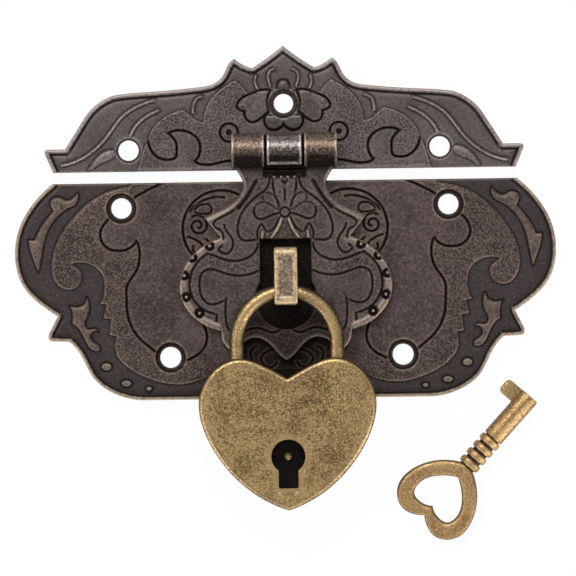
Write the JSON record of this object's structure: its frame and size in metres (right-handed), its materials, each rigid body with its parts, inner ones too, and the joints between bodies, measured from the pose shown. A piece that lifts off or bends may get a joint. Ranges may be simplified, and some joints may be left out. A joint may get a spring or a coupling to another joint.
{
  "type": "hasp latch with padlock",
  "caption": "Embossed hasp latch for a box lid: hinged slotted leaf over a staple, closed by a small heart padlock with its key.",
  "frame": {"origin": "centre of the staple, on the back of the lower plate, where the plate lies on the box front", "axes": "+X along the plates to the right, +Y up towards the lid plate, +Z out of the box front"},
  "size_m": [0.0956, 0.0877, 0.0127],
  "materials": {
    "antique_bronze": "dark bronze plating, matt in the recesses and rubbed lighter on the raised rims",
    "worn_bronze": "bronze plating worn through to tan on the edges",
    "antique_brass": "aged brass with dark speckle and brighter rubbed edges",
    "plain_steel": "plain steel of the hidden lock parts"
  },
  "bodies": {
    "box_plate": {"lower_plate": "antique_bronze", "staple": "worn_bronze"},
    "hasp": {"hasp_leaf": "antique_bronze", "hinge_pin": "antique_bronze"},
    "lid": {"lid_plate": "antique_bronze"},
    "shackle_bar": {"shackle": "antique_brass"},
    "case": {"front_shell": "antique_brass", "back_shell": "antique_brass", "heel_pin": "plain_steel", "key_post": "antique_brass", "bolt_posts": "plain_steel", "case_rivets": "plain_steel", "bolt_spring": "plain_steel", "shackle_spring": "plain_steel"},
    "bolt": {"locking_bolt": "plain_steel"},
    "key_body": {"key": "antique_brass"}
  },
  "joints": [
    {"name": "leaf_swing", "type": "hinge", "parent": "box_plate", "child": "hasp", "pos_m": [0, 0.0223, 0.0054], "axis": [-1, 0, 0], "range_deg": [0, 5]},
    {"name": "lid_hinge", "type": "hinge", "parent": "hasp", "child": "lid", "pos_m": [0, 0.0223, 0.0054], "axis": [1, 0, 0], "range_deg": [0, 160]},
    {"name": "padlock_swing", "type": "hinge", "parent": "box_plate", "child": "shackle_bar", "pos_m": [0, -0.00267, 0.0087], "axis": [-1, 0, 0], "range_deg": [0, 90]},
    {"name": "case_swing", "type": "hinge", "parent": "shackle_bar", "child": "case", "pos_m": [-0.0088, -0.0178, 0.0087], "axis": [0, 0, -1], "range_deg": [0, 50]},
    {"name": "bolt_slide", "type": "slide", "parent": "case", "child": "bolt", "axis": [1, 0, 0], "range_m": [0, 0.0011], "deforming": ["bolt_spring"]},
    {"name": "key_lift", "type": "slide", "parent": "box_plate", "child": "key_body", "axis": [0, 0, 1], "range_m": [0, 0.03]}
  ]
}
